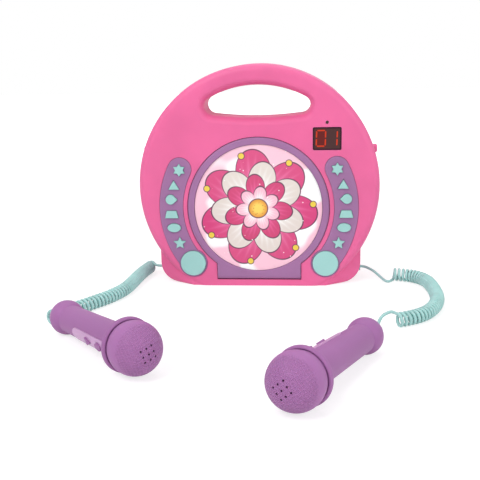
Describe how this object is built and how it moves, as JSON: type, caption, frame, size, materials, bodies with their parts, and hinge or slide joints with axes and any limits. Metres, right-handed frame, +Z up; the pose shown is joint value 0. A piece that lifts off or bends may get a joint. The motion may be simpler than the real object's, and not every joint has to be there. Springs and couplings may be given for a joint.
{
  "type": "karaoke_machine_disc_tray",
  "caption": "Round pink disc player for singing along, with a carrying grip, a hinged picture lid over the disc well, curved key panels and two purple microphones on curly teal cords.",
  "frame": {"origin": "middle of the flat base on the table, midway between the housing's front and rear", "axes": "+X to the right seen from the front, +Y from the front to the back, +Z up"},
  "size_m": [0.3609, 0.3942, 0.2221],
  "materials": {
    "pink_shell": "glossy pink injection-moulded shell",
    "purple_trim": "mauve-purple moulded trim with a satin skin",
    "teal_keys": "pale teal moulded keys",
    "lilac_plate": "lighter lilac inlay",
    "picture_print": "printed picture disc under a clear skin",
    "dark_plastic": "black moulded inner parts",
    "display_lens": "dark tinted window",
    "nylon": "natural nylon",
    "board": "green circuit board with its components",
    "steel": "zinc plated or turned steel",
    "brass": "turned brass",
    "cell_wrap": "shrink wrap of the battery cells",
    "rubber": "soft black rubber",
    "cord_teal": "soft teal cord jacket"
  },
  "bodies": {
    "housing": {"front_shell": "pink_shell", "rear_shell": "pink_shell", "left_panel": "purple_trim", "right_panel": "purple_trim", "disc_well": "dark_plastic", "display_window": "display_lens", "display_module": "board", "main_board": "board", "key_boards": "board", "speakers": "dark_plastic", "battery_cells": "cell_wrap", "battery_contacts": "steel", "drive_chassis": "steel", "drive_dampers": "rubber", "spindle_motor": "steel", "guide_rods": "steel", "sled_motor": "steel", "cord_bushings": "cord_teal", "power_socket": "dark_plastic", "case_screws": "steel", "left_cord_lead": "cord_teal", "left_cord_coil": "cord_teal", "left_cord_tail": "cord_teal", "right_cord_lead": "cord_teal", "right_cord_coil": "cord_teal", "right_cord_tail": "cord_teal"},
    "lid": {"lid_frame": "purple_trim", "lid_picture": "picture_print"},
    "turntable": {"turntable": "nylon"},
    "pickup": {"pickup_sled": "dark_plastic"},
    "gear_wheel": {"sled_gear": "nylon"},
    "pinion": {"motor_pinion": "brass"},
    "battery_door": {"battery_door": "pink_shell", "door_screw": "steel"},
    "left_star6_key": {"left_star6_key": "teal_keys"},
    "left_triangle_key": {"left_triangle_key": "teal_keys"},
    "left_drop_key": {"left_drop_key": "teal_keys"},
    "left_wedge_key": {"left_wedge_key": "teal_keys"},
    "left_oval_key": {"left_oval_key": "teal_keys"},
    "left_star5_key": {"left_star5_key": "teal_keys"},
    "left_round_button": {"left_round_button": "teal_keys"},
    "right_star6_key": {"right_star6_key": "teal_keys"},
    "right_triangle_key": {"right_triangle_key": "teal_keys"},
    "right_drop_key": {"right_drop_key": "teal_keys"},
    "right_wedge_key": {"right_wedge_key": "teal_keys"},
    "right_oval_key": {"right_oval_key": "teal_keys"},
    "right_star5_key": {"right_star5_key": "teal_keys"},
    "right_round_button": {"right_round_button": "teal_keys"},
    "left_mic": {"left_mic_handle": "purple_trim", "left_mic_head": "purple_trim", "left_mic_plate": "lilac_plate", "left_mic_capsule": "dark_plastic"},
    "left_mic_triangle_key": {"left_mic_triangle_key": "purple_trim"},
    "left_mic_oval_key": {"left_mic_oval_key": "purple_trim"},
    "right_mic": {"right_mic_handle": "purple_trim", "right_mic_head": "purple_trim", "right_mic_plate": "lilac_plate", "right_mic_capsule": "dark_plastic"},
    "right_mic_triangle_key": {"right_mic_triangle_key": "purple_trim"},
    "right_mic_oval_key": {"right_mic_oval_key": "purple_trim"}
  },
  "joints": [
    {"name": "lid_hinge", "type": "hinge", "parent": "housing", "child": "lid", "pos_m": [0, -0.0354, 0.01115], "axis": [1, 0, 0], "range_deg": [0, 70]},
    {"name": "turntable_spin", "type": "hinge", "parent": "housing", "child": "turntable", "pos_m": [0, -0.0296, 0.0805], "axis": [0, 1, 0], "continuous": true},
    {"name": "sled_slide", "type": "slide", "parent": "housing", "child": "pickup", "axis": [1, 0, 0], "range_m": [0, 0.034]},
    {"name": "gear_spin", "type": "hinge", "parent": "housing", "child": "gear_wheel", "pos_m": [0.036, -0.0094, 0.0543], "axis": [0, 1, 0], "continuous": true},
    {"name": "pinion_spin", "type": "hinge", "parent": "housing", "child": "pinion", "pos_m": [0.02462, -0.0094, 0.04292], "axis": [0, 1, 0], "continuous": true},
    {"name": "door_slide", "type": "slide", "parent": "housing", "child": "battery_door", "axis": [0, 1, 0], "range_m": [0, 0.04]},
    {"name": "left_star6_key_press", "type": "slide", "parent": "housing", "child": "left_star6_key", "axis": [0, 1, 0], "range_m": [0, 0.0012], "stiffness_N_per_m": 250},
    {"name": "left_triangle_key_press", "type": "slide", "parent": "housing", "child": "left_triangle_key", "axis": [0, 1, 0], "range_m": [0, 0.0012], "stiffness_N_per_m": 250},
    {"name": "left_drop_key_press", "type": "slide", "parent": "housing", "child": "left_drop_key", "axis": [0, 1, 0], "range_m": [0, 0.0012], "stiffness_N_per_m": 250},
    {"name": "left_wedge_key_press", "type": "slide", "parent": "housing", "child": "left_wedge_key", "axis": [0, 1, 0], "range_m": [0, 0.0012], "stiffness_N_per_m": 250},
    {"name": "left_oval_key_press", "type": "slide", "parent": "housing", "child": "left_oval_key", "axis": [0, 1, 0], "range_m": [0, 0.0012], "stiffness_N_per_m": 250},
    {"name": "left_star5_key_press", "type": "slide", "parent": "housing", "child": "left_star5_key", "axis": [0, 1, 0], "range_m": [0, 0.0012], "stiffness_N_per_m": 250},
    {"name": "left_round_button_press", "type": "slide", "parent": "housing", "child": "left_round_button", "axis": [0, 1, 0], "range_m": [0, 0.0012], "stiffness_N_per_m": 250},
    {"name": "right_star6_key_press", "type": "slide", "parent": "housing", "child": "right_star6_key", "axis": [0, 1, 0], "range_m": [0, 0.0012], "stiffness_N_per_m": 250},
    {"name": "right_triangle_key_press", "type": "slide", "parent": "housing", "child": "right_triangle_key", "axis": [0, 1, 0], "range_m": [0, 0.0012], "stiffness_N_per_m": 250},
    {"name": "right_drop_key_press", "type": "slide", "parent": "housing", "child": "right_drop_key", "axis": [0, 1, 0], "range_m": [0, 0.0012], "stiffness_N_per_m": 250},
    {"name": "right_wedge_key_press", "type": "slide", "parent": "housing", "child": "right_wedge_key", "axis": [0, 1, 0], "range_m": [0, 0.0012], "stiffness_N_per_m": 250},
    {"name": "right_oval_key_press", "type": "slide", "parent": "housing", "child": "right_oval_key", "axis": [0, 1, 0], "range_m": [0, 0.0012], "stiffness_N_per_m": 250},
    {"name": "right_star5_key_press", "type": "slide", "parent": "housing", "child": "right_star5_key", "axis": [0, 1, 0], "range_m": [0, 0.0012], "stiffness_N_per_m": 250},
    {"name": "right_round_button_press", "type": "slide", "parent": "housing", "child": "right_round_button", "axis": [0, 1, 0], "range_m": [0, 0.0012], "stiffness_N_per_m": 250},
    {"name": "left_mic_lift", "type": "slide", "parent": "housing", "child": "left_mic", "axis": [0, 0, 1], "range_m": [0, 0.06]},
    {"name": "left_mic_triangle_key_press", "type": "slide", "parent": "left_mic", "child": "left_mic_triangle_key", "axis": [0.7053, 0.6383, 0.3084], "range_m": [0, 0.0008], "stiffness_N_per_m": 250},
    {"name": "left_mic_oval_key_press", "type": "slide", "parent": "left_mic", "child": "left_mic_oval_key", "axis": [0.7053, 0.6383, 0.3084], "range_m": [0, 0.0008], "stiffness_N_per_m": 250},
    {"name": "right_mic_lift", "type": "slide", "parent": "housing", "child": "right_mic", "axis": [0, 0, 1], "range_m": [0, 0.06]},
    {"name": "right_mic_triangle_key_press", "type": "slide", "parent": "right_mic", "child": "right_mic_triangle_key", "axis": [0.5599, -0.3192, -0.7646], "range_m": [0, 0.0008], "stiffness_N_per_m": 250},
    {"name": "right_mic_oval_key_press", "type": "slide", "parent": "right_mic", "child": "right_mic_oval_key", "axis": [0.5599, -0.3192, -0.7646], "range_m": [0, 0.0008], "stiffness_N_per_m": 250}
  ],
  "couplings": [
    {"joint": "gear_spin", "follows": "sled_slide", "rad_per_m": 238.1},
    {"joint": "pinion_spin", "follows": "sled_slide", "rad_per_m": -857.14}
  ]
}
